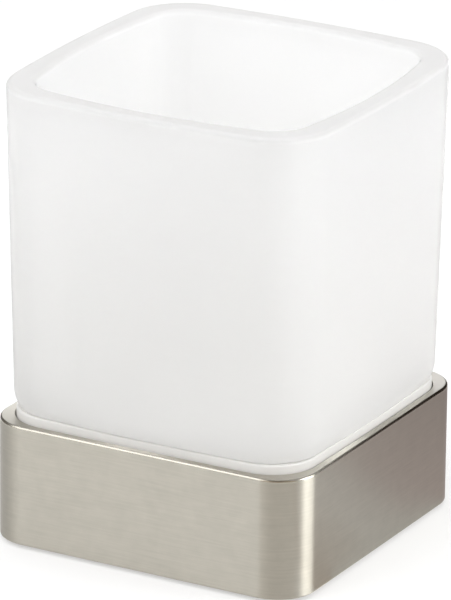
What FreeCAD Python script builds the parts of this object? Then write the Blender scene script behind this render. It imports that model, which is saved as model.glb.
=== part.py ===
import FreeCAD, Part
import math
import os
import Sketcher

# Bathroom tumbler: a satin glass cup with convex sides, standing in a square brushed metal holder.
# Frame: millimetres, +Z up, origin on the table below the middle of the holder.
# The front is the -Y side, and the right-hand side is +X.

# Driving sizes: name, value in millimetres, meaning.
SIZES = [
    ("glass_width", 77.3, "glass across its sides at the rim"),
    ("glass_height", 89.7, "glass from the bottom of its foot to its rim"),
    ("glass_corner", 12.2, "radius of the glass corners where the wall begins"),
    ("glass_bulge", 376.0, "radius of the convex glass sides where the wall begins"),
    ("glass_taper", 1.65, "how far each side of the wall leans out from the skirt to the rim"),
    ("glass_floor", 6.0, "thickness of the glass floor"),
    ("rim_wall", 4.95, "glass wall at the rim, in the middle of a side"),
    ("rim_round", 1.2, "rounding of both edges of the rim"),
    ("skirt_height", 2.6, "height of the skirt, which turns in below the wall"),
    ("skirt_lean", 1.1, "how far each side of the skirt turns in"),
    ("skirt_round", 7.0, "rounding between the wall and the skirt"),
    ("shoulder_step", 2.4, "how far the foot stands back from the skirt's lower edge"),
    ("shoulder_round", 0.5, "rounding of the skirt's lower edge"),
    ("foot_length", 18.0, "glass foot below the shoulder"),
    ("foot_taper", 0.4, "how far each side of the foot leans in to its bottom"),
    ("foot_round", 1.2, "rounding of the bottom of the foot"),
    ("cavity_corner", 7.5, "corner radius of the hollow at the rim"),
    ("cavity_bulge", 150.0, "radius of the hollow's convex sides at the rim"),
    ("cavity_taper", 3.4, "how far each side of the hollow leans in to its floor"),
    ("cavity_round", 4.6, "rounding between the hollow's walls and its floor"),
    ("punt_ring", 6.5, "width of the standing ring round the recess under the foot"),
    ("punt_corner", 5.0, "corner radius of the recess under the foot"),
    ("punt_depth", 0.8, "depth of the recess under the foot"),
    ("foot_gap", 0.3, "free play between the glass foot and the liner, each side"),
    ("shoulder_gap", 0.3, "free play between the shoulder and the liner's collar"),
    ("liner_wall", 1.7, "liner wall in the middle of a side"),
    ("liner_floor", 1.6, "thickness of the liner's floor"),
    ("collar_proud", 1.9, "how far the liner's collar stands above the metal rim"),
    ("collar_corner", 10.0, "corner radius of the liner's outside"),
    ("collar_bulge", 1200.0, "radius of the convex sides of the liner's outside"),
    ("collar_round", 0.4, "rounding of the collar's upper edges"),
    ("liner_gap", 0.25, "gap between the liner and the metal opening, each side"),
    ("rim_land", 1.75, "flat metal rim in the middle of a side"),
    ("shell_corner", 9.0, "radius of the holder's upright corners"),
    ("shell_wall", 2.4, "wall round the hollow underside of the holder"),
    ("shell_upper_edge", 0.6, "rounding of the holder's upper edge"),
    ("shell_lower_edge", 0.4, "rounding of the holder's lower edge"),
    ("tray_floor", 2.4, "metal floor under the liner"),
    ("boss_length", 5.0, "length of the screw bosses under the metal floor"),
    ("boss_radius", 3.6, "outside radius of a screw boss"),
    ("boss_inset", 8.0, "axis of a boss from the wall of the underside"),
    ("plate_thickness", 2.0, "thickness of the bottom plate"),
    ("plate_gap", 0.2, "gap between the plate and the shell's wall"),
    ("screw_radius", 1.5, "radius of a screw's shank"),
    ("screw_length", 6.0, "screw from the face of its head to its tip"),
    ("screw_head_radius", 2.8, "radius of a countersunk head at its face"),
    ("screw_sink", 0.1, "how far the face of a head lies inside the plate"),
    ("screw_gap", 0.1, "gap round a screw in its hole"),
    ("screw_slot_arm", 1.6, "length of each arm of a screw's cross slot"),
    ("screw_slot_width", 0.7, "width of the cross slot"),
    ("screw_slot_depth", 0.8, "depth of the cross slot"),
    ("pilot_spare", 0.5, "hole in the boss beyond the screw's tip"),
    ("rubber_radius", 5.0, "radius of a rubber foot"),
    ("rubber_proud", 0.8, "how far a rubber foot stands below the plate"),
    ("rubber_seat", 0.8, "depth of a rubber foot's seat in the plate"),
    ("rubber_gap", 0.15, "gap round a rubber foot in its seat"),
    ("rubber_bevel", 0.4, "bevel of a rubber foot's lower edge"),
    ("rubber_inset", 10.5, "middle of a rubber foot from both walls of the underside"),
]

# Levels, stacked up from the table.
SHELL_BOTTOM = "Sizes.rubber_proud"
RUBBER_TOP = f"{SHELL_BOTTOM} + Sizes.rubber_seat"
PLATE_TOP = f"{SHELL_BOTTOM} + Sizes.plate_thickness"
TRAY_UNDERSIDE = f"{PLATE_TOP} + Sizes.boss_length"
TRAY_TOP = f"{TRAY_UNDERSIDE} + Sizes.tray_floor"
GLASS_BOTTOM = f"{TRAY_TOP} + Sizes.liner_floor"
CAVITY_FLOOR = f"{GLASS_BOTTOM} + Sizes.glass_floor"
SHOULDER = f"{GLASS_BOTTOM} + Sizes.foot_length"
SKIRT_TOP = f"{SHOULDER} + Sizes.skirt_height"
COLLAR_TOP = f"{SHOULDER} - Sizes.shoulder_gap"
SHELL_RIM = f"{COLLAR_TOP} - Sizes.collar_proud"
GLASS_RIM = f"{GLASS_BOTTOM} + Sizes.glass_height"
SCREW_FACE = f"{SHELL_BOTTOM} + Sizes.screw_sink"
SCREW_TIP = f"{SCREW_FACE} + Sizes.screw_length"

# Half widths, from the glass out to the holder around it.
RIM_HALF = "Sizes.glass_width / 2"
CAVITY_HALF = f"{RIM_HALF} - Sizes.rim_wall"
WALL_HALF = f"{RIM_HALF} - Sizes.glass_taper"
FOOT_INSET = "Sizes.skirt_lean + Sizes.shoulder_step"
FOOT_HALF = f"{WALL_HALF} - ({FOOT_INSET})"
COLLAR_HALF = f"{FOOT_HALF} + Sizes.foot_gap + Sizes.liner_wall"
OPENING_HALF = f"{COLLAR_HALF} + Sizes.liner_gap"
SHELL_HALF = f"{OPENING_HALF} + Sizes.rim_land"
HOLLOW_HALF = f"{SHELL_HALF} - Sizes.shell_wall"
HOLLOW_CORNER = "Sizes.shell_corner - Sizes.shell_wall"
BOSS_OFFSET = f"{HOLLOW_HALF} - Sizes.boss_inset"
RUBBER_OFFSET = f"{HOLLOW_HALF} - Sizes.rubber_inset"
SHANK_HOLE = "Sizes.screw_radius + Sizes.screw_gap"

SIDES = 4
QUARTER_TURN = math.pi / 2
SAME_LEVEL = 1e-4
FILLET_LIMIT = 0.95
UP = FreeCAD.Vector(0, 0, 1)
ORIGIN_POINT = (-1, 1)
START, END, CENTRE = 1, 2, 3

doc = FreeCAD.newDocument("BathroomTumbler")
sheet = doc.addObject("Spreadsheet::Sheet", "Sizes")
for row, (alias, size, meaning) in enumerate(SIZES, start=1):
    sheet.set(f"A{row}", meaning)
    sheet.set(f"B{row}", str(size))
    sheet.setAlias(f"B{row}", alias)
doc.recompute()


def value(expression):
    """Gives the present number behind an expression."""
    return float(sheet.evalExpression(expression))


def new_body(name):
    """Starts one sub-part; its label names its file."""
    body = doc.addObject("PartDesign::Body", name)
    body.Label = name
    body.AllowCompound = True
    return body


def origin_feature(body, role):
    """Finds a plane or an axis of the body's own origin."""
    return next(item for item in body.Origin.OriginFeatures if item.Role == role)


def new_sketch(body, name, plane="XY_Plane", level=None, along=None):
    """Puts an empty sketch on an origin plane, raised to a level and moved along its own X."""
    sketch = body.newObject("Sketcher::SketchObject", name)
    sketch.AttachmentSupport = [(origin_feature(body, plane), "")]
    sketch.MapMode = "FlatFace"
    if level is not None:
        sketch.setExpression("AttachmentOffset.Base.z", level)
    if along is not None:
        sketch.setExpression("AttachmentOffset.Base.x", along)
    return sketch


def hold(sketch, kind, *where, size):
    """Adds one dimension to a sketch, tied to an expression."""
    index = sketch.addConstraint(Sketcher.Constraint(kind, *where, value(size)))
    sketch.setExpression(f"Constraints[{index}]", size)


def join_smoothly(sketch, count):
    """Joins the sketch's edges end to end, each tangent to the next, as a closed loop."""
    for edge in range(count):
        sketch.addConstraint(Sketcher.Constraint("Tangent", edge, END, (edge + 1) % count, START))


def hold_from_middle(sketch, side, edge, point, distance):
    """Holds a point at a distance from the middle, in the direction of one side: +X, +Y, -X or -Y."""
    kind = "DistanceX" if side % 2 == 0 else "DistanceY"
    ends = (*ORIGIN_POINT, edge, point) if side < 2 else (edge, point, *ORIGIN_POINT)
    hold(sketch, kind, *ends, size=distance)


def turned(x, y, turn):
    """Turns a point about the middle."""
    return FreeCAD.Vector(x * math.cos(turn) - y * math.sin(turn), x * math.sin(turn) + y * math.cos(turn), 0)


def convex_square(body, name, level, half, corner, bulge):
    """Draws a square with convex sides and rounded corners: eight arcs, each tangent to the next.

    The arc of a side has its centre on an axis, beyond the middle by the bulge radius less the half
    width. The arc of a corner has its centre on a diagonal, where it touches both sides from inside.
    """
    sketch = new_sketch(body, name, level=level)
    half_size, corner_size, bulge_size = value(half), value(corner), value(bulge)
    side_centre = half_size - bulge_size
    reach = bulge_size - corner_size
    corner_centre = (side_centre + math.sqrt(2 * reach**2 - side_centre**2)) / 2
    meeting = math.atan2(corner_centre, corner_centre - side_centre)
    for side in range(SIDES):
        turn = side * QUARTER_TURN
        side_circle = Part.Circle(turned(side_centre, 0, turn), UP, bulge_size)
        corner_circle = Part.Circle(turned(corner_centre, corner_centre, turn), UP, corner_size)
        sketch.addGeometry(Part.ArcOfCircle(side_circle, turn - meeting, turn + meeting), False)
        sketch.addGeometry(
            Part.ArcOfCircle(corner_circle, turn + meeting, turn + QUARTER_TURN - meeting), False
        )
    join_smoothly(sketch, 2 * SIDES)
    for side in range(SIDES):
        side_arc, corner_arc = 2 * side, 2 * side + 1
        axis = -1 if side % 2 == 0 else -2
        sketch.addConstraint(Sketcher.Constraint("PointOnObject", side_arc, CENTRE, axis))
        hold(sketch, "Radius", side_arc, size=bulge)
        hold(sketch, "Radius", corner_arc, size=corner)
        hold_from_middle(sketch, (side + 2) % SIDES, side_arc, CENTRE, f"{bulge} - ({half})")
    return sketch


def straight_square(body, name, level, half, corner):
    """Draws a square with straight sides and rounded corners."""
    sketch = new_sketch(body, name, level=level)
    half_size, corner_size = value(half), value(corner)
    flat = half_size - corner_size
    for side in range(SIDES):
        turn = side * QUARTER_TURN
        line = Part.LineSegment(turned(half_size, -flat, turn), turned(half_size, flat, turn))
        corner_circle = Part.Circle(turned(flat, flat, turn), UP, corner_size)
        sketch.addGeometry(line, False)
        sketch.addGeometry(Part.ArcOfCircle(corner_circle, turn, turn + QUARTER_TURN), False)
    join_smoothly(sketch, 2 * SIDES)
    for side in range(SIDES):
        direction = "Vertical" if side % 2 == 0 else "Horizontal"
        sketch.addConstraint(Sketcher.Constraint(direction, 2 * side))
        hold(sketch, "Radius", 2 * side + 1, size=corner)
        hold_from_middle(sketch, side, 2 * side, START, half)
    return sketch


def circle(body, name, level, radius, x, y=None):
    """Draws a circle with its middle at x, on the X axis unless y is given."""
    sketch = new_sketch(body, name, level=level)
    middle = FreeCAD.Vector(value(x), value(y) if y else 0, 0)
    sketch.addGeometry(Part.Circle(middle, UP, value(radius)), False)
    hold(sketch, "Radius", 0, size=radius)
    hold(sketch, "DistanceX", *ORIGIN_POINT, 0, CENTRE, size=x)
    if y:
        hold(sketch, "DistanceY", *ORIGIN_POINT, 0, CENTRE, size=y)
    else:
        sketch.addConstraint(Sketcher.Constraint("PointOnObject", 0, CENTRE, -1))
    return sketch


def polygon(sketch, points):
    """Draws a closed polygon in a sketch; each point is a pair of expressions, x and y."""
    corners = [FreeCAD.Vector(value(x), value(y), 0) for x, y in points]
    for start, end in zip(corners, corners[1:] + corners[:1]):
        sketch.addGeometry(Part.LineSegment(start, end), False)
    for edge, (x, y) in enumerate(points):
        sketch.addConstraint(Sketcher.Constraint("Coincident", edge, END, (edge + 1) % len(points), START))
        hold(sketch, "DistanceX", *ORIGIN_POINT, edge, START, size=x)
        hold(sketch, "DistanceY", *ORIGIN_POINT, edge, START, size=y)
    return sketch


def finish_feature(made, volume_before, adds):
    """Recomputes a feature and makes sure that it added or took away material."""
    doc.recompute()
    change = made.Shape.Volume - volume_before
    if (change > 0) != adds or change == 0:
        raise RuntimeError(f"{made.Label} changed the volume by {change}")
    return made


def extruded(body, kind, name, sketch, reverse=False, **sizes):
    """Adds a Pad or a Pocket, with its sizes tied to expressions."""
    volume_before = body.Tip.Shape.Volume if body.Tip else 0.0
    made = body.newObject(f"PartDesign::{kind}", name)
    made.Profile = sketch
    made.Reversed = reverse
    for size_name, expression in sizes.items():
        made.setExpression(size_name, expression)
    return finish_feature(made, volume_before, kind == "Pad")


def revolved(body, kind, name, sketch):
    """Adds a Revolution or a Groove: a full turn about the sketch's own upright axis."""
    volume_before = body.Tip.Shape.Volume if body.Tip else 0.0
    made = body.newObject(f"PartDesign::{kind}", name)
    made.Profile = sketch
    made.ReferenceAxis = (sketch, ["V_Axis"])
    made.Angle = 360
    return finish_feature(made, volume_before, kind == "Revolution")


def four_times(body, name, originals):
    """Repeats features on the four sides or corners, about the upright axis."""
    pattern = body.newObject("PartDesign::PolarPattern", name)
    pattern.Originals = originals
    pattern.Axis = (origin_feature(body, "Z_Axis"), [""])
    pattern.Angle = 360
    pattern.Occurrences = SIDES
    body.Tip = pattern
    doc.recompute()


def rounded(body, name, base, level, radius):
    """Rounds all the edges of a feature that lie on one level."""
    height = value(level)
    made = body.newObject("PartDesign::Fillet", name)
    made.Base = (base, [
        f"Edge{index}"
        for index, edge in enumerate(base.Shape.Edges, start=1)
        if max(abs(edge.BoundBox.ZMin - height), abs(edge.BoundBox.ZMax - height)) < SAME_LEVEL
    ])
    made.setExpression("Radius", radius)
    doc.recompute()
    return made


def lean_angle(lean, rise):
    """Gives the expression for the angle of a side that leans by one size over another."""
    return f"atan(({lean}) / ({rise}))"


def limited(radius, room):
    """Gives the expression for a fillet that stays within the room it has."""
    return f"min({radius}; {FILLET_LIMIT} * ({room}))"


def glass_outline(inset):
    """Gives half width, corner and bulge of the outline where the wall begins, moved in by a distance."""
    return (
        f"{WALL_HALF} - ({inset})",
        f"Sizes.glass_corner - ({inset})",
        f"Sizes.glass_bulge - ({inset})",
    )


def glass_tumbler():
    """The cup: a leaning convex-sided wall on a turned-in skirt, with a stepped foot and a hollow."""
    body = new_body("glass_tumbler")
    skirt_angle = lean_angle("Sizes.skirt_lean", "Sizes.skirt_height")
    skirt_outline = convex_square(body, "skirt_outline", SHOULDER, *glass_outline("Sizes.skirt_lean"))
    extruded(
        body, "Pad", "skirt", skirt_outline, Length="Sizes.skirt_height", TaperAngle=skirt_angle
    )
    rise = f"{GLASS_RIM} - ({SKIRT_TOP})"
    lean = lean_angle("Sizes.glass_taper", rise)
    wall_outline = convex_square(body, "wall_outline", SKIRT_TOP, *glass_outline("0"))
    wall = extruded(body, "Pad", "wall", wall_outline, Length=rise, TaperAngle=lean)
    curve_room = f"Sizes.skirt_height / tan({skirt_angle} / 2)"
    curve = rounded(body, "skirt_curve", wall, SKIRT_TOP, limited("Sizes.skirt_round", curve_room))
    shoulder_room = "min(Sizes.shoulder_step; Sizes.skirt_height / 4)"
    rounded(body, "shoulder", curve, SHOULDER, limited("Sizes.shoulder_round", shoulder_room))

    foot_lean = "-" + lean_angle("Sizes.foot_taper", "Sizes.foot_length")
    foot_outline = convex_square(body, "foot_outline", SHOULDER, *glass_outline(FOOT_INSET))
    foot = extruded(
        body, "Pad", "foot", foot_outline, reverse=True, Length="Sizes.foot_length", TaperAngle=foot_lean
    )
    rounded(body, "foot_edge", foot, GLASS_BOTTOM, "Sizes.foot_round")

    depth = f"{GLASS_RIM} - ({CAVITY_FLOOR})"
    cavity_lean = "-" + lean_angle("Sizes.cavity_taper", depth)
    mouth = convex_square(
        body, "mouth_outline", GLASS_RIM, CAVITY_HALF, "Sizes.cavity_corner", "Sizes.cavity_bulge"
    )
    cavity = extruded(body, "Pocket", "cavity", mouth, Length=depth, TaperAngle=cavity_lean)
    floor_corner = "Sizes.cavity_corner - Sizes.cavity_taper"
    bowl = rounded(body, "bowl", cavity, CAVITY_FLOOR, limited("Sizes.cavity_round", floor_corner))
    rounded(body, "rim", bowl, GLASS_RIM, limited("Sizes.rim_round", "Sizes.rim_wall / 2"))

    punt_half, _, punt_bulge = glass_outline(f"{FOOT_INSET} + Sizes.foot_taper + Sizes.punt_ring")
    punt_outline = convex_square(
        body, "punt_outline", GLASS_BOTTOM, punt_half, "Sizes.punt_corner", punt_bulge
    )
    extruded(body, "Pocket", "punt", punt_outline, reverse=True, Length="Sizes.punt_depth")
    return body


def seat_liner():
    """The plastic insert: a straight cup whose collar shows above the metal rim."""
    body = new_body("seat_liner")
    outline = convex_square(
        body, "collar_outline", TRAY_TOP, COLLAR_HALF, "Sizes.collar_corner", "Sizes.collar_bulge"
    )
    extruded(body, "Pad", "block", outline, Length=f"{COLLAR_TOP} - ({TRAY_TOP})")
    seat_outline = convex_square(
        body, "seat_outline", COLLAR_TOP, *glass_outline(f"{FOOT_INSET} - Sizes.foot_gap")
    )
    seat = extruded(body, "Pocket", "seat", seat_outline, Length=f"{COLLAR_TOP} - ({GLASS_BOTTOM})")
    rounded(body, "collar_edges", seat, COLLAR_TOP, limited("Sizes.collar_round", "Sizes.liner_wall / 2"))
    return body


def holder_shell():
    """The metal casting: a square tray on a hollow underside with four screw bosses."""
    body = new_body("holder_shell")
    outline = straight_square(body, "shell_outline", SHELL_BOTTOM, SHELL_HALF, "Sizes.shell_corner")
    block = extruded(body, "Pad", "block", outline, Length=f"{SHELL_RIM} - ({SHELL_BOTTOM})")
    upper = rounded(body, "upper_edge", block, SHELL_RIM, "Sizes.shell_upper_edge")
    rounded(body, "lower_edge", upper, SHELL_BOTTOM, "Sizes.shell_lower_edge")

    opening_outline = convex_square(
        body, "opening_outline", SHELL_RIM, OPENING_HALF,
        "Sizes.collar_corner + Sizes.liner_gap", "Sizes.collar_bulge + Sizes.liner_gap",
    )
    extruded(body, "Pocket", "tray", opening_outline, Length=f"{SHELL_RIM} - ({TRAY_TOP})")
    hollow_outline = straight_square(body, "hollow_outline", SHELL_BOTTOM, HOLLOW_HALF, HOLLOW_CORNER)
    hollow_depth = f"{TRAY_UNDERSIDE} - ({SHELL_BOTTOM})"
    extruded(body, "Pocket", "hollow", hollow_outline, reverse=True, Length=hollow_depth)

    boss_outline = circle(body, "boss_outline", TRAY_UNDERSIDE, "Sizes.boss_radius", BOSS_OFFSET)
    boss = extruded(body, "Pad", "boss", boss_outline, reverse=True, Length="Sizes.boss_length")
    pilot_outline = circle(body, "pilot_outline", PLATE_TOP, SHANK_HOLE, BOSS_OFFSET)
    pilot_depth = f"{SCREW_TIP} + Sizes.pilot_spare - ({PLATE_TOP})"
    pilot = extruded(body, "Pocket", "pilot", pilot_outline, reverse=True, Length=pilot_depth)
    four_times(body, "bosses", [boss, pilot])
    return body


def bottom_plate():
    """The plate under the hollow: countersunk screw holes and shallow seats for the rubber feet."""
    body = new_body("bottom_plate")
    outline = straight_square(
        body, "plate_outline", SHELL_BOTTOM,
        f"{HOLLOW_HALF} - Sizes.plate_gap", f"{HOLLOW_CORNER} - Sizes.plate_gap",
    )
    extruded(body, "Pad", "sheet", outline, Length="Sizes.plate_thickness")
    sink_mouth = "Sizes.screw_head_radius + Sizes.screw_gap + Sizes.screw_sink"
    hole_profile = polygon(
        new_sketch(body, "hole_profile", plane="XZ_Plane", along=BOSS_OFFSET),
        [
            ("0", SHELL_BOTTOM),
            (sink_mouth, SHELL_BOTTOM),
            (SHANK_HOLE, f"{SHELL_BOTTOM} + {sink_mouth} - ({SHANK_HOLE})"),
            (SHANK_HOLE, PLATE_TOP),
            ("0", PLATE_TOP),
        ],
    )
    hole = revolved(body, "Groove", "screw_hole", hole_profile)
    seat_radius = "Sizes.rubber_radius + Sizes.rubber_gap"
    seat_outline = circle(body, "seat_outline", SHELL_BOTTOM, seat_radius, RUBBER_OFFSET, RUBBER_OFFSET)
    seat = extruded(body, "Pocket", "foot_seat", seat_outline, reverse=True, Length="Sizes.rubber_seat")
    four_times(body, "holes_and_seats", [hole, seat])
    return body


def plate_screws():
    """Four countersunk screws with cross slots."""
    body = new_body("plate_screws")
    profile = polygon(
        new_sketch(body, "screw_profile", plane="XZ_Plane", along=BOSS_OFFSET),
        [
            ("0", SCREW_FACE),
            ("Sizes.screw_head_radius", SCREW_FACE),
            ("Sizes.screw_radius", f"{SCREW_FACE} + Sizes.screw_head_radius - Sizes.screw_radius"),
            ("Sizes.screw_radius", SCREW_TIP),
            ("0", SCREW_TIP),
        ],
    )
    screw = revolved(body, "Revolution", "screw", profile)
    arm, flank = "Sizes.screw_slot_arm", "Sizes.screw_slot_width / 2"
    cross = polygon(
        new_sketch(body, "cross_slot", level=SCREW_FACE, along=BOSS_OFFSET),
        [
            (arm, f"-{flank}"), (arm, flank), (flank, flank),
            (flank, arm), (f"-{flank}", arm), (f"-{flank}", flank),
            (f"-{arm}", flank), (f"-{arm}", f"-{flank}"), (f"-{flank}", f"-{flank}"),
            (f"-{flank}", f"-{arm}"), (flank, f"-{arm}"), (flank, f"-{flank}"),
        ],
    )
    slot = extruded(body, "Pocket", "slot", cross, reverse=True, Length="Sizes.screw_slot_depth")
    four_times(body, "screws", [screw, slot])
    return body


def rubber_foot(name, x_sign, y_sign):
    """One round anti-slip foot with a bevelled lower edge, under one corner of the plate."""
    body = new_body(name)
    profile = polygon(
        new_sketch(body, "foot_profile", plane="XZ_Plane"),
        [
            ("0", "0"),
            ("Sizes.rubber_radius - Sizes.rubber_bevel", "0"),
            ("Sizes.rubber_radius", "Sizes.rubber_bevel"),
            ("Sizes.rubber_radius", RUBBER_TOP),
            ("0", RUBBER_TOP),
        ],
    )
    revolved(body, "Revolution", "foot", profile)
    body.setExpression("Placement.Base.x", f"{x_sign} * ({RUBBER_OFFSET})")
    body.setExpression("Placement.Base.y", f"{y_sign} * ({RUBBER_OFFSET})")
    return body


sub_parts = [glass_tumbler(), seat_liner(), holder_shell(), bottom_plate(), plate_screws()]
for end_name, y_sign in (("front", -1), ("back", 1)):
    for side_name, x_sign in (("left", -1), ("right", 1)):
        sub_parts.append(rubber_foot(f"rubber_foot_{end_name}_{side_name}", x_sign, y_sign))
doc.recompute()

for item in doc.Objects:
    if "Invalid" in item.State or "Error" in item.State:
        raise RuntimeError(f"{item.Name} failed: {item.State}")
for part in sub_parts:
    if part.Shape.isNull() or not part.Shape.isValid():
        raise RuntimeError(f"{part.Label} has no valid shape")

os.makedirs("parts", exist_ok=True)
for part in sub_parts:
    part.Shape.exportStep(f"parts/{part.Label}.step")
    print(f"{part.Label}: {len(part.Shape.Solids)} solids, {part.Shape.Volume:.1f} mm3")
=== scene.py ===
import math

import bpy
import numpy as np
from mathutils import Matrix, Vector


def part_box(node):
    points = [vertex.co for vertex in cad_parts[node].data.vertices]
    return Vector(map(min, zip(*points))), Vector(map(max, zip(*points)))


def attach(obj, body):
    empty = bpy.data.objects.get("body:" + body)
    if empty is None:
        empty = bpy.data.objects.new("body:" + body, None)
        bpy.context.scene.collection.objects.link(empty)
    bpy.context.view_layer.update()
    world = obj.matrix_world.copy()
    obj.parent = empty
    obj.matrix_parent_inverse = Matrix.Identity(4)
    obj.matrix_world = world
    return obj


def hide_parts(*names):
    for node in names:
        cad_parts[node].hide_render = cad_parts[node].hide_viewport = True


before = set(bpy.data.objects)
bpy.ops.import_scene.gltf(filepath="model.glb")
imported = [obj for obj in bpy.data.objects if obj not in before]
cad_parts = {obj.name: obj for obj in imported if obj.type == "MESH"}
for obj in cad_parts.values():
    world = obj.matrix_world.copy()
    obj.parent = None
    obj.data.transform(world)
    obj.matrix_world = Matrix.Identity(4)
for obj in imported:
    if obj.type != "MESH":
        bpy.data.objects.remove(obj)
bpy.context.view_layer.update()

# Bathroom tumbler: a satin glass cup with convex sides, standing in a square brushed metal holder.
# Metres, +Z up, the front is -Y. Widths and levels come from the frame, the rest is named here.
MM = 0.001

# An outline is half width, corner radius and side radius. These give the last two; a side with the
# radius STRAIGHT has no bulge that shows.
GLASS_CORNER, GLASS_BULGE = 12.2 * MM, 376.0 * MM
MOUTH_CORNER, MOUTH_BULGE = 7.5 * MM, 150.0 * MM
PUNT_CORNER = 5.0 * MM
COLLAR_CORNER, COLLAR_BULGE = 10.0 * MM, 1200.0 * MM
SHELL_CORNER = 9.0 * MM
STRAIGHT = 1000.0

# The glass.
GLASS_TAPER = 1.65 * MM
RIM_WALL = 4.95 * MM
RIM_ROUND = 1.2 * MM
SKIRT_HEIGHT = 2.6 * MM
SKIRT_LEAN = 1.1 * MM
SKIRT_ROUND = 7.0 * MM
SHOULDER_STEP = 2.4 * MM
SHOULDER_ROUND = 0.8 * MM
SHOULDER_DROP = 0.25 * MM
FOOT_INSET = SKIRT_LEAN + SHOULDER_STEP
FOOT_LENGTH = 18.0 * MM
FOOT_TAPER = 0.4 * MM
FOOT_ROUND = 1.2 * MM
GLASS_FLOOR = 6.0 * MM
CAVITY_TAPER = 3.4 * MM
CAVITY_ROUND = 3.9 * MM
PUNT_RING = 6.5 * MM
PUNT_DEPTH = 0.8 * MM

# White in the glass: where it begins, where it is full, and its share there. The milk is placed above
# the table, the skirt above the shoulder as a painted lift, and the ground rim below the rim with a grey
# tint that is painted shade.
CLEAR_FROM, MILKY_BELOW, MILKY_SHARE = 112.0 * MM, 28.0 * MM, 0.36
SKIRT_FROM, SKIRT_FULL, SKIRT_LIFT_SHARE = 4.0 * MM, 1.0 * MM, 0.2
GROUND_FROM, GROUND_FULL, GROUND_SHARE = 1.05 * MM, 0.15 * MM, 0.8
GROUND_SHADE_FROM = 5 * GROUND_FROM
GLASS_IOR = 1.48
ETCH_ROUGHNESS, ETCH_SPREAD = 0.56, 0.08
ETCH_DEPTH, ETCH_STRENGTH = 0.03 * MM, 0.25

# The liner and the metal holder.
LINER_FLOOR = 1.6 * MM
FOOT_GAP = 0.3 * MM
COLLAR_ROUND = 0.4 * MM
LINER_GAP = 0.25 * MM
SHELL_WALL = 2.4 * MM
SHELL_UPPER_EDGE = 0.6 * MM
SHELL_LOWER_EDGE = 0.4 * MM
TRAY_FLOOR = 2.4 * MM
BOSS_LENGTH = 5.0 * MM
BOSS_RADIUS = 3.6 * MM
BOSS_INSET = 8.0 * MM
PILOT_RADIUS = 1.6 * MM
PILOT_DEPTH = 4.6 * MM

# Below the metal rim: the polished rounding from its foot to the flat land, which is painted lighter as a
# painted highlight, and the liner's collar, painted paler than its seat as a painted lift against its shade.
EDGE_FROM, EDGE_FULL = 1.1 * SHELL_UPPER_EDGE, 0.9 * SHELL_UPPER_EDGE
LAND_FROM, LAND_FULL = 0.05 * SHELL_UPPER_EDGE, 0.01 * SHELL_UPPER_EDGE
EDGE_POLISH = 0.45
COLLAR_FROM, COLLAR_FULL = 2.0 * MM, 0.5 * MM

# Sharp edges are broken by a little, and a hair of room keeps resting faces apart.
BROKEN_EDGE = 0.15 * MM
HAIR = 0.02 * MM

# How far a profile runs on along a flat: past a rounding, in radii, or in from a floor's outline.
RIM_RUN = 1.4
BOWL_RUN = 1.03
EDGE_RUN = 1.2
PUNT_CAP = PUNT_CORNER / 4
LINER_CAP = COLLAR_CORNER / 3
SHELL_CAP = SHELL_CORNER / 3

# Points round an outline and along a profile.
SIDE_STEPS = 36
CORNER_STEPS = 22
LEG_STEPS = 12
ROUND_STEPS = 8
CAP_STEPS = 5
SHARP_ANGLE = math.radians(40)


def cad_half(node):
    """Half the width of a node of the frame."""
    low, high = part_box(node)
    return (high.x - low.x) / 2


def convex_square_rings(rows):
    """Rings round the upright axis, one for each row of half width, corner radius, side radius, height.

    A side is an arc about a point on an axis, at half width less side radius. A corner is an arc about
    the point of the diagonal that is as far from that centre as side radius less corner radius. Both
    arcs are walked by angle, and the quarter so made is turned into the other three.
    """
    half, corner, bulge, height = np.asarray(rows, float).T[:, :, None]
    side_centre = half - bulge
    reach = bulge - corner
    corner_centre = (side_centre + np.sqrt(2 * reach**2 - side_centre**2)) / 2
    meeting = np.arctan2(corner_centre, corner_centre - side_centre)
    side_angle = meeting * np.linspace(-1, 1, SIDE_STEPS, endpoint=False)
    corner_angle = meeting + (np.pi / 2 - 2 * meeting) * np.linspace(0, 1, CORNER_STEPS, endpoint=False)
    side = side_centre + bulge * np.exp(1j * side_angle)
    bend = corner_centre * (1 + 1j) + corner * np.exp(1j * corner_angle)
    quarter = np.concatenate([side, bend], axis=1)
    ring = np.concatenate([quarter * turn for turn in (1, 1j, -1, -1j)], axis=1)
    return np.stack([ring.real, ring.imag, np.broadcast_to(height, ring.shape)], axis=2)


def rounded_path(points, radii):
    """A path of (offset, height) through points, with an arc of the given radius in each inner corner.

    A corner that turns by an angle gives up radius times tan(angle / 2) of both legs to its arc. Legs
    are divided by a cosine, so that points crowd where a leg meets its arc.
    """
    points = np.asarray(points, float)
    legs = np.diff(points, axis=0)
    ahead = legs / np.linalg.norm(legs, axis=1)[:, None]
    along_leg = (1 - np.cos(np.pi * np.linspace(0, 1, LEG_STEPS + 1)[:-1, None])) / 2
    stretches, leg_start = [], points[0]
    for corner, radius, before, after in zip(points[1:-1], radii, ahead, ahead[1:]):
        turn = math.acos(before @ after)
        cut = radius * math.tan(turn / 2)
        inward = (after - before * math.cos(turn)) / math.sin(turn)
        sweep = np.linspace(0, turn, ROUND_STEPS + 1)[:-1, None]
        arc_start = corner - cut * before
        stretches.append(leg_start + (arc_start - leg_start) * along_leg)
        stretches.append(arc_start + radius * (np.sin(sweep) * before + (1 - np.cos(sweep)) * inward))
        leg_start = corner + cut * after
    stretches.append(leg_start + (points[-1] - leg_start) * along_leg)
    return np.concatenate([*stretches, points[-1:]])


def moved_outline(outline, path):
    """Rows of an outline moved outwards by each offset of a path, at the path's heights."""
    offset, height = np.asarray(path).T
    return np.column_stack([np.add.outer(offset, outline), height])


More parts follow.
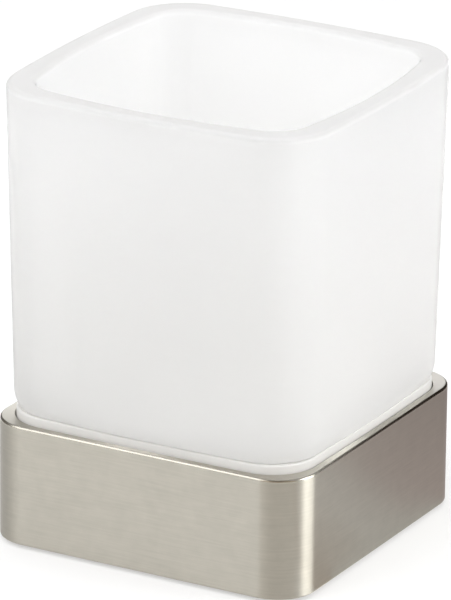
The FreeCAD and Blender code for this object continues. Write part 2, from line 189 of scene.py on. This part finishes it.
def flat_cap(outline, height, from_middle):
    """Rows of one outline scaled in steps between near the middle and its full size, at one height."""
    scale = np.linspace(0, 1, CAP_STEPS + 1)[1:-1]
    scale = scale if from_middle else scale[::-1]
    return np.column_stack([np.outer(scale, outline), np.full(len(scale), height)])


def ring_surface(rings):
    """Points and faces of a closed surface: quads between neighbouring rings, fans at both ends.

    The first and last ring are closed by a fan round a point on their own middle. Rings run
    anticlockwise, so faces look outwards where the walk goes up, and inwards where it goes down.
    """
    count, around = rings.shape[:2]
    here = np.arange(around)
    after = (here + 1) % around
    base = around * np.arange(count - 1)[:, None]
    quads = np.stack([base + here, base + after, base + around + after, base + around + here], axis=2)
    first, last = count * around, count * around + 1
    top = around * (count - 1)
    fans = np.concatenate([
        np.column_stack([np.full(around, first), after, here]),
        np.column_stack([np.full(around, last), top + here, top + after]),
    ])
    points = np.concatenate([rings.reshape(-1, 3), rings[[0, -1]].mean(axis=1)])
    return points, quads.reshape(-1, 4), fans


def new_piece(name, body, node, material, surfaces):
    """Makes one mesh of one or more closed surfaces and lets it stand for a node of the frame."""
    points, faces, start = [], [], 0
    for own_points, quads, fans in surfaces:
        points.append(own_points)
        faces += (quads + start).tolist() + (fans + start).tolist()
        start += len(own_points)
    mesh = bpy.data.meshes.new(name)
    mesh.from_pydata(np.concatenate(points), [], faces)
    mesh.shade_smooth()
    mesh.set_sharp_from_angle(angle=SHARP_ANGLE)
    mesh.materials.append(material)
    piece = bpy.data.objects.new(name, mesh)
    bpy.context.scene.collection.objects.link(piece)
    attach(piece, body)
    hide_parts(node)
    return piece


class Wire:
    """An output socket of a shader tree that can stand in a Python sum; each operator adds a Math node."""

    def __init__(self, tree, socket=None):
        self.tree = tree
        self.socket = socket

    def node(self, kind, inputs=None, output=0, **settings):
        """Adds a node, sets it up, fills its sockets with values or wires, and gives one of its outputs."""
        made = self.tree.nodes.new(kind)
        for name, setting in settings.items():
            setattr(made, name, setting)
        for name, given in (inputs or {}).items():
            if isinstance(given, Wire):
                self.tree.links.new(given.socket, made.inputs[name])
            else:
                made.inputs[name].default_value = given
        return Wire(self.tree, made.outputs[output])

    def math(self, operation, left, right):
        """Adds one Math node."""
        return self.node("ShaderNodeMath", {0: left, 1: right}, operation=operation)

    def __add__(self, other):
        return self.math("ADD", self, other)

    __radd__ = __add__

    def __sub__(self, other):
        return self.math("SUBTRACT", self, other)

    def __rsub__(self, other):
        return self.math("SUBTRACT", other, self)

    def __mul__(self, other):
        return self.math("MULTIPLY", self, other)

    __rmul__ = __mul__

    def larger(self, other):
        """The larger of two values."""
        return self.math("MAXIMUM", self, other)

    def tint(self, low, high):
        """Runs from one colour to another as the value goes from 0 to 1."""
        low, high = (end if isinstance(end, Wire) else (*end, 1.0) for end in (low, high))
        return self.node("ShaderNodeMix", {0: self, 6: low, 7: high}, output=2, data_type="RGBA")

    def rise(self, start, end):
        """Goes softly from 0 to 1 as the value goes from start to end."""
        return self.node(
            "ShaderNodeMapRange",
            {"Value": self, "From Min": start, "From Max": end},
            interpolation_type="SMOOTHSTEP",
        )

    def along(self, axis):
        """One of a vector's three values: X, Y or Z."""
        return self.node("ShaderNodeSeparateXYZ", {"Vector": self}, output=axis)

    def stretched(self, scale):
        """Scales a vector's three axes apart."""
        return self.node("ShaderNodeMapping", {"Vector": self, "Scale": scale})

    def noise(self, scale, detail=2.0, roughness=0.5):
        """Fractal noise between 0 and 1 at this place, with grains of about 1 / scale metres."""
        return self.node(
            "ShaderNodeTexNoise",
            {"Vector": self, "Scale": scale, "Detail": detail, "Roughness": roughness},
        )

    def relief(self, height, strength):
        """The surface's own direction, tilted by a height in metres that this wire gives in shares."""
        return self.node("ShaderNodeBump", {"Height": self, "Distance": height, "Strength": strength})


def new_material(name):
    """Starts a material: gives it, a wire on its object coordinates and its surface shader."""
    material = bpy.data.materials.new(name)
    material.use_nodes = True
    tree = material.node_tree
    shader = tree.nodes["Principled BSDF"]
    place = Wire(tree).node("ShaderNodeTexCoord", output="Object")
    return material, place, shader


def finish_shader(shader, **inputs):
    """Sets the sockets of a surface shader; underscores stand for the spaces of their names."""
    for name, given in inputs.items():
        socket = shader.inputs[name.replace("_", " ")]
        if isinstance(given, Wire):
            given.tree.links.new(given.socket, socket)
        else:
            socket.default_value = given


def satin_glass():
    """Acid-etched clear glass: softly see-through, milkier towards the thick foot, with a ground rim painted
    grey as painted shade, and a skirt made milkier as a painted lift against its shade.
    """
    material, place, shader = new_material("satin_glass")
    clouds = 0.5 * place.noise(45.0) + 0.5 * place.stretched((50.0, 50.0, 420.0)).noise(1.0)
    grain = place.noise(5200.0, detail=3.0)
    finish_shader(
        shader,
        Base_Color=clouds.tint((0.972, 0.972, 0.974), (0.995, 0.995, 0.996)),
        Roughness=ETCH_ROUGHNESS + ETCH_SPREAD * grain,
        IOR=GLASS_IOR,
        Transmission_Weight=0.85,
        Normal=grain.relief(ETCH_DEPTH, ETCH_STRENGTH),
    )
    height = place.along("Z")
    low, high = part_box("glass_tumbler")
    rim, shoulder = high.z, low.z + FOOT_LENGTH
    milk = height.rise(CLEAR_FROM, MILKY_BELOW)
    # painted lift: more white on the skirt just above the shoulder, brightening it against the shade it
    # leans into
    skirt = height.rise(shoulder + SKIRT_FROM, shoulder + SKIRT_FULL)
    # painted shade: from here up, the white part of the glass turns grey over the ground rim
    upper = height.rise(rim - GROUND_SHADE_FROM, rim - GROUND_FROM)
    ground = height.rise(rim - GROUND_FROM, rim - GROUND_FULL)
    milky_tint = clouds.tint((0.95, 0.943, 0.925), (0.985, 0.978, 0.96))
    white = place.node("ShaderNodeBsdfPrincipled")
    finish_shader(
        white.socket.node,
        # painted shade: grey on the ground rim and just below it
        Base_Color=upper.tint(milky_tint, (0.658, 0.653, 0.651)),
        Roughness=ETCH_ROUGHNESS + ETCH_SPREAD * grain,
        IOR=GLASS_IOR,
        Normal=grain.relief(ETCH_DEPTH, ETCH_STRENGTH),
    )
    share = MILKY_SHARE * milk + SKIRT_LIFT_SHARE * skirt + GROUND_SHARE * ground
    clear = Wire(place.tree, shader.outputs[0])
    mixed = share.node("ShaderNodeMixShader", {0: share, 1: clear, 2: white})
    place.tree.links.new(mixed.socket, place.tree.nodes["Material Output"].inputs["Surface"])
    return material


def brushed_metal():
    """Warm nickel brushed along its sides: scratches at three widths, smudges, a polished upper edge, and a
    flat land painted lighter as a painted highlight.
    """
    material, place, shader = new_material("brushed_metal")
    fine = place.stretched((80.0, 80.0, 5600.0)).noise(1.0)
    middle = place.stretched((110.0, 110.0, 2600.0)).noise(1.0, detail=3.0)
    broad = place.stretched((20.0, 20.0, 900.0)).noise(1.0)
    smudge = place.noise(330.0, detail=3.0)
    scratch = 0.18 * fine + 0.36 * middle + 0.16 * broad + 0.3 * smudge
    height = place.along("Z")
    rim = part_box("holder_shell")[1].z
    land = height.rise(rim - LAND_FROM, rim - LAND_FULL)
    edge = height.rise(rim - EDGE_FROM, rim - EDGE_FULL) - land
    side_tint = scratch.tint((0.356, 0.338, 0.296), (0.602, 0.572, 0.502))
    # painted highlight: the flat land of the rim is painted lighter than the sides
    land_painted_highlight = scratch.tint((0.48, 0.46, 0.415), (0.79, 0.76, 0.69))
    finish_shader(
        shader,
        Base_Color=land.tint(side_tint, land_painted_highlight),
        Metallic=1.0,
        Roughness=(0.34 + 0.12 * scratch) * (1.0 - EDGE_POLISH * edge),
        Anisotropic=0.97,
        Anisotropic_Rotation=0.25,
        Normal=scratch.relief(0.02 * MM, 0.2),
    )
    return material


def liner_plastic():
    """Milky plastic with a faint moulded grain; the collar is painted paler than the seat, a painted lift
    against its shade.
    """
    material, place, shader = new_material("liner_plastic")
    clouds = place.noise(120.0)
    grain = place.noise(3600.0)
    height = place.along("Z")
    metal_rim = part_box("holder_shell")[1].z
    collar = height.rise(metal_rim - COLLAR_FROM, metal_rim - COLLAR_FULL)
    seat_tint = clouds.tint((0.85, 0.832, 0.8), (0.89, 0.872, 0.84))
    # painted lift: the collar above the metal rim is painted paler than the seat, against the shade along
    # the rim
    collar_painted_lift = clouds.tint((0.905, 0.893, 0.867), (0.935, 0.923, 0.897))
    finish_shader(
        shader,
        Base_Color=collar.tint(seat_tint, collar_painted_lift),
        Roughness=0.5 + 0.1 * grain,
        Transmission_Weight=0.2,
        Normal=grain.relief(0.02 * MM, 0.2),
    )
    return material


def plate_steel():
    """Zinc-plated sheet: faint spangle under fine handling scratches."""
    material, place, shader = new_material("plate_steel")
    spangle = place.node("ShaderNodeTexVoronoi", {"Vector": place, "Scale": 420.0}, output="Color")
    spangle = spangle.node("ShaderNodeRGBToBW", {"Color": spangle})
    scratch = place.stretched((60.0, 2400.0, 60.0)).noise(1.0)
    finish_shader(
        shader,
        Base_Color=(0.6 * spangle + 0.4 * scratch).tint((0.42, 0.42, 0.41), (0.56, 0.56, 0.55)),
        Metallic=1.0,
        Roughness=0.34 + 0.1 * spangle + 0.12 * scratch,
        Normal=scratch.relief(0.01 * MM, 0.2),
    )
    return material


def screw_steel():
    """Zinc-plated screw: bright, with a fine grain."""
    material, place, shader = new_material("screw_steel")
    grain = place.noise(2400.0)
    finish_shader(
        shader,
        Base_Color=grain.tint((0.56, 0.56, 0.54), (0.68, 0.68, 0.66)),
        Metallic=1.0,
        Roughness=0.24 + 0.16 * grain,
        Normal=grain.relief(0.01 * MM, 0.2),
    )
    return material


def foot_rubber():
    """Matt dark rubber with a pebbled skin and a little dust."""
    material, place, shader = new_material("foot_rubber")
    pebbles = place.noise(2800.0, detail=3.0)
    dust = place.noise(260.0)
    finish_shader(
        shader,
        Base_Color=dust.tint((0.028, 0.028, 0.028), (0.055, 0.054, 0.052)),
        Roughness=0.72 + 0.2 * pebbles,
        Normal=pebbles.relief(0.04 * MM, 0.35),
    )
    return material


def glass_tumbler(material):
    """The cup: a walk from the recess under the foot, up the leaning sides, over the rim and down inside."""
    low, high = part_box("glass_tumbler")
    bottom, rim = low.z + HAIR, high.z
    shoulder = low.z + FOOT_LENGTH - SHOULDER_DROP
    rim_half = cad_half("glass_tumbler")
    side = np.array([rim_half - GLASS_TAPER, GLASS_CORNER, GLASS_BULGE])
    mouth = np.array([rim_half - RIM_WALL, MOUTH_CORNER, MOUTH_BULGE])
    foot_inset = FOOT_INSET + FOOT_TAPER
    punt_inset = foot_inset + PUNT_RING
    punt = np.array([side[0] - punt_inset, PUNT_CORNER, GLASS_BULGE - punt_inset])
    punt_roof = bottom + PUNT_DEPTH
    cavity_floor = low.z + GLASS_FLOOR

    recess = rounded_path(
        [(-PUNT_CAP, punt_roof), (0, punt_roof), (0, bottom), (PUNT_RING / 4, bottom)],
        [BROKEN_EDGE, BROKEN_EDGE],
    )
    outside = rounded_path(
        [
            (-foot_inset - PUNT_RING / 3, bottom),
            (-foot_inset, bottom),
            (-FOOT_INSET, shoulder),
            (-SKIRT_LEAN, shoulder),
            (0, shoulder + SKIRT_HEIGHT),
            (GLASS_TAPER, rim),
            (GLASS_TAPER - RIM_RUN * RIM_ROUND, rim),
        ],
        [FOOT_ROUND, BROKEN_EDGE, SHOULDER_ROUND, SKIRT_ROUND, RIM_ROUND],
    )
    inside = rounded_path(
        [
            (RIM_RUN * RIM_ROUND, rim),
            (0, rim),
            (-CAVITY_TAPER, cavity_floor),
            (-CAVITY_TAPER - BOWL_RUN * CAVITY_ROUND, cavity_floor),
        ],
        [RIM_ROUND, CAVITY_ROUND],
    )
    rows = np.concatenate([
        flat_cap(punt - PUNT_CAP, punt_roof, from_middle=True),
        moved_outline(punt, recess),
        moved_outline(side, outside),
        moved_outline(mouth, inside),
        flat_cap(mouth + inside[-1, 0], cavity_floor, from_middle=False),
    ])
    surface = ring_surface(convex_square_rings(rows))
    return new_piece("glass_cup", "tumbler", "glass_tumbler", material, [surface])


def seat_liner(material):
    """The plastic insert: a straight cup whose collar stands above the metal rim."""
    low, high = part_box("seat_liner")
    bottom, top = low.z + HAIR, high.z
    seat = low.z + LINER_FLOOR
    collar = np.array([cad_half("seat_liner"), COLLAR_CORNER, COLLAR_BULGE])
    rim_half = cad_half("glass_tumbler")
    inset = FOOT_INSET - FOOT_GAP
    hole = np.array([rim_half - GLASS_TAPER, GLASS_CORNER, GLASS_BULGE]) - inset
    outside = rounded_path(
        [(-LINER_CAP, bottom), (0, bottom), (0, top), (-EDGE_RUN * COLLAR_ROUND, top)],
        [COLLAR_ROUND, COLLAR_ROUND],
    )
    inside = rounded_path(
        [(EDGE_RUN * COLLAR_ROUND, top), (0, top), (0, seat), (-LINER_CAP, seat)],
        [COLLAR_ROUND, COLLAR_ROUND],
    )
    rows = np.concatenate([
        flat_cap(collar - LINER_CAP, bottom, from_middle=True),
        moved_outline(collar, outside),
        moved_outline(hole, inside),
        flat_cap(hole - LINER_CAP, seat, from_middle=False),
    ])
    surface = ring_surface(convex_square_rings(rows))
    return new_piece("liner_cup", "holder", "seat_liner", material, [surface])


def boss_surface(middle, underside):
    """One screw boss: a round post with a blind pilot hole, hung from the underside of the tray."""
    rise = np.array([HAIR, 0, -BOSS_LENGTH, -BOSS_LENGTH, PILOT_DEPTH - BOSS_LENGTH])
    radius = np.array([BOSS_RADIUS, BOSS_RADIUS, BOSS_RADIUS, PILOT_RADIUS, PILOT_RADIUS])
    angle = np.linspace(0, -2 * np.pi, 4 * CORNER_STEPS, endpoint=False)
    ring = np.stack([np.cos(angle), np.sin(angle)], axis=1)
    rings = np.empty((len(rise), len(angle), 3))
    rings[:, :, :2] = np.asarray(middle) + radius[:, None, None] * ring
    rings[:, :, 2] = (underside + rise)[:, None]
    return ring_surface(rings)


def holder_shell(material):
    """The metal casting: hollow underside, brushed sides, flat rim and the tray for the liner."""
    low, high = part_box("holder_shell")
    bottom, top = low.z, high.z
    half = cad_half("holder_shell")
    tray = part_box("seat_liner")[0].z
    underside = tray - TRAY_FLOOR
    outer = np.array([half, SHELL_CORNER, STRAIGHT])
    hollow = outer - np.array([SHELL_WALL, SHELL_WALL, 0])
    opening = np.array([cad_half("seat_liner"), COLLAR_CORNER, COLLAR_BULGE]) + LINER_GAP
    below = rounded_path(
        [(-SHELL_CAP, underside), (0, underside), (0, bottom), (SHELL_WALL / 4, bottom)],
        [BROKEN_EDGE, BROKEN_EDGE],
    )
    outside = rounded_path(
        [(-SHELL_WALL / 2, bottom), (0, bottom), (0, top), (-EDGE_RUN * SHELL_UPPER_EDGE, top)],
        [SHELL_LOWER_EDGE, SHELL_UPPER_EDGE],
    )
    inside = rounded_path(
        [(2 * BROKEN_EDGE, top), (0, top), (0, tray), (-LINER_CAP, tray)],
        [BROKEN_EDGE, BROKEN_EDGE],
    )
    rows = np.concatenate([
        flat_cap(hollow - SHELL_CAP, underside, from_middle=True),
        moved_outline(hollow, below),
        moved_outline(outer, outside),
        moved_outline(opening, inside),
        flat_cap(opening - LINER_CAP, tray, from_middle=False),
    ])
    surfaces = [ring_surface(convex_square_rings(rows))]
    offset = half - SHELL_WALL - BOSS_INSET
    for x, y in ((1, 0), (0, 1), (-1, 0), (0, -1)):
        surfaces.append(boss_surface((x * offset, y * offset), underside))
    return new_piece("holder_casting", "holder", "holder_shell", material, surfaces)


def dress_node(name, material):
    """Gives a node of the frame its finish."""
    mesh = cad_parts[name].data
    mesh.materials.clear()
    mesh.materials.append(material)


# The photograph's camera: where it looks from, its distance, and its focal length in pixels.
FRAME_LONG_SIDE = 600
FOCAL_PIXELS = 6549.5
SENSOR = 36.0
CAMERA_AZIMUTH = math.radians(28.972)
CAMERA_ELEVATION = math.radians(20.029)
CAMERA_ROLL = math.radians(0.637)
CAMERA_DISTANCE = 1390.5 * MM
AIM_HEIGHT = 49.81 * MM
AIM_ASIDE = -0.23 * MM


def direction(azimuth, elevation):
    """The unit vector from the object towards an azimuth, 0 at the front and 90 degrees at the right."""
    level = math.cos(elevation)
    return Vector((math.sin(azimuth) * level, -math.cos(azimuth) * level, math.sin(elevation)))


def photo_camera():
    """Puts the camera where the photograph was taken from."""
    back = direction(CAMERA_AZIMUTH, CAMERA_ELEVATION)
    right = direction(CAMERA_AZIMUTH + math.pi / 2, 0.0)
    up = back.cross(right)
    turned_right = math.cos(CAMERA_ROLL) * right + math.sin(CAMERA_ROLL) * up
    turned_up = math.cos(CAMERA_ROLL) * up - math.sin(CAMERA_ROLL) * right
    lens = bpy.data.cameras.new("photo_camera")
    lens.sensor_width = SENSOR
    lens.lens = FOCAL_PIXELS * SENSOR / FRAME_LONG_SIDE
    camera = bpy.data.objects.new("photo_camera", lens)
    turn = Matrix((turned_right, turned_up, back)).transposed()
    eye = Vector((0, 0, AIM_HEIGHT)) + AIM_ASIDE * right + CAMERA_DISTANCE * back
    camera.matrix_world = Matrix.Translation(eye) @ turn.to_4x4()
    bpy.context.scene.collection.objects.link(camera)
    bpy.context.scene.camera = camera


# Soft boxes: name, azimuth, elevation, width, height, brightness, and if the shine of surfaces shows them.
LAMP_DISTANCE = 0.9
WATTS_PER_AREA = 4.0
SOFT_BOXES = [
    ("front_left_box", -42.0, 38.0, 0.9, 0.8, 1.35, True),
    ("right_box", 108.0, 24.0, 0.4, 0.8, 2.45, True),
    ("overhead_box", 0.0, 88.0, 0.6, 0.6, 1.75, False),
    ("front_fill", 44.0, 20.0, 0.9, 0.5, 0.97, False),
]
ROOM_LEVEL = 0.6

# Cards that only the shine of surfaces meets: name, first and last azimuth, distance and height of the
# lower edge, distance and height of the upper edge, colour of their light.
CARDS = [
    ("floor_card", 118.0, 190.0, (0.05, 0.0005), (0.2, 0.0005), (0.82, 0.724, 0.724)),
    ("corner_floor_card", 55.0, 95.0, (0.043, 0.0006), (0.075, 0.0006), (0.74, 0.66, 0.6)),
    ("back_right_card", 133.0, 180.0, (0.2, 0.0), (0.2, 0.5), (0.03, 0.02, 0.015)),
    ("right_bright_card", 98.5, 132.0, (0.78, 0.0), (0.78, 0.75), (4.95, 5.05, 5.0)),
    ("camera_side_card", -18.0, 78.0, (0.8, 0.0), (0.8, 0.9), (0.54, 0.46, 0.36)),
    ("camera_side_top_card", -18.0, 75.0, (0.8, 0.9), (0.3, 1.3), (0.05, 0.045, 0.04)),
    ("left_card", -140.0, -72.0, (0.8, 0.0), (0.8, 0.6), (0.22, 0.21, 0.19)),
    ("left_soft_card", -72.0, -56.0, (0.8, 0.0), (0.8, 0.6), (0.55, 0.54, 0.51)),
    ("left_blend_card", -56.0, -42.0, (0.8, 0.0), (0.8, 0.6), (0.8, 0.79, 0.76)),
    ("left_bright_card", -85.0, -38.0, (0.8, 0.65), (0.8, 1.4), (1.42, 1.42, 1.42)),
    ("back_dark_card", 150.0, 262.0, (0.8, 0.0), (0.8, 0.28), (0.10, 0.10, 0.10)),
    ("back_bright_card", 180.0, 212.0, (0.12, 0.03), (0.12, 0.09), (1.5, 1.5, 1.56)),
    ("left_land_card", 214.0, 246.0, (0.12, 0.035), (0.12, 0.085), (1.75, 1.75, 1.75)),
]
CARD_STEPS = 24
FLOOR_REACH = 8.0
FLOOR_COLOUR = (0.55, 0.55, 0.55)
FLOOR_GLOW = 0.43


def soft_box(name, azimuth, elevation, width, height, level, in_shine):
    """One studio lamp with a large soft face, turned to the middle of the object."""
    lamp = bpy.data.lights.new(name, "AREA")
    lamp.shape = "RECTANGLE"
    lamp.size, lamp.size_y = width, height
    lamp.energy = WATTS_PER_AREA * level * width * height
    box = bpy.data.objects.new(name, lamp)
    towards = direction(math.radians(azimuth), math.radians(elevation))
    box.location = Vector((0, 0, AIM_HEIGHT)) + LAMP_DISTANCE * towards
    box.rotation_euler = towards.to_track_quat("Z", "Y").to_euler()
    box.visible_camera = False
    box.visible_glossy = in_shine
    bpy.context.scene.collection.objects.link(box)


def card(name, start, end, lower, upper, level):
    """A curved card round the object, dim or bright, that only the shine of its surfaces meets.

    It is a strip between two circles round the upright axis, from one azimuth to another.
    """
    angle = np.radians(np.linspace(start, end, CARD_STEPS))
    edges = [
        np.stack([distance * np.sin(angle), -distance * np.cos(angle), height + 0 * angle], axis=1)
        for distance, height in (lower, upper)
    ]
    here = np.arange(CARD_STEPS - 1)
    faces = np.stack([here, here + 1, here + 1 + CARD_STEPS, here + CARD_STEPS], axis=1)
    mesh = bpy.data.meshes.new(name)
    mesh.from_pydata(np.concatenate(edges), [], faces.tolist())
    piece = bpy.data.objects.new(name, mesh)
    bpy.context.scene.collection.objects.link(piece)
    for kind in ("camera", "diffuse", "transmission", "shadow"):
        setattr(piece, f"visible_{kind}", False)
    material, _, shader = new_material(name)
    finish_shader(
        shader,
        Base_Color=(0.0, 0.0, 0.0, 1.0),
        Specular_IOR_Level=0.0,
        Emission_Color=(*level, 1.0),
        Emission_Strength=1.0,
    )
    mesh.materials.append(material)


def seen_directly(wire):
    """1 where the camera, a reflection or a look through glass meets this surface, else 0."""
    rays = wire.tree.nodes.new("ShaderNodeLightPath").outputs
    camera, glossy, through = (
        Wire(wire.tree, rays[f"Is {kind} Ray"]) for kind in ("Camera", "Glossy", "Transmission")
    )
    return camera.larger(glossy).larger(through)


def studio():
    """The soft boxes and cards, a plain pale room, and a white floor that keeps the shadow."""
    for lamp in SOFT_BOXES:
        soft_box(*lamp)
    for settings in CARDS:
        card(*settings)
    scene = bpy.context.scene
    scene.world = bpy.data.worlds.new("room")
    scene.world.use_nodes = True
    tree = scene.world.node_tree
    tree.nodes["Background"].inputs["Color"].default_value = (1.0, 1.0, 1.0, 1.0)
    tree.nodes["Background"].inputs["Strength"].default_value = ROOM_LEVEL

    reach = FLOOR_REACH
    mesh = bpy.data.meshes.new("floor")
    corners = [(-reach, -reach, 0), (reach, -reach, 0), (reach, reach, 0), (-reach, reach, 0)]
    mesh.from_pydata(corners, [], [(0, 1, 2, 3)])
    floor = bpy.data.objects.new("floor", mesh)
    scene.collection.objects.link(floor)
    material, place, shader = new_material("floor_white")
    seen = seen_directly(place)
    finish_shader(
        shader,
        Base_Color=(*FLOOR_COLOUR, 1.0),
        Roughness=0.9,
        Specular_IOR_Level=0.0,
        Emission_Color=seen.tint((0.0, 0.0, 0.0), (1.0, 1.0, 1.0)),
        Emission_Strength=FLOOR_GLOW,
    )
    mesh.materials.append(material)


glass_tumbler(satin_glass())
seat_liner(liner_plastic())
holder_shell(brushed_metal())
dress_node("bottom_plate", plate_steel())
dress_node("plate_screws", screw_steel())
rubber = foot_rubber()
for node in sorted(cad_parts):
    if node.startswith("rubber_foot"):
        dress_node(node, rubber)
photo_camera()
studio()

bpy.context.scene.view_settings.view_transform = "Standard"
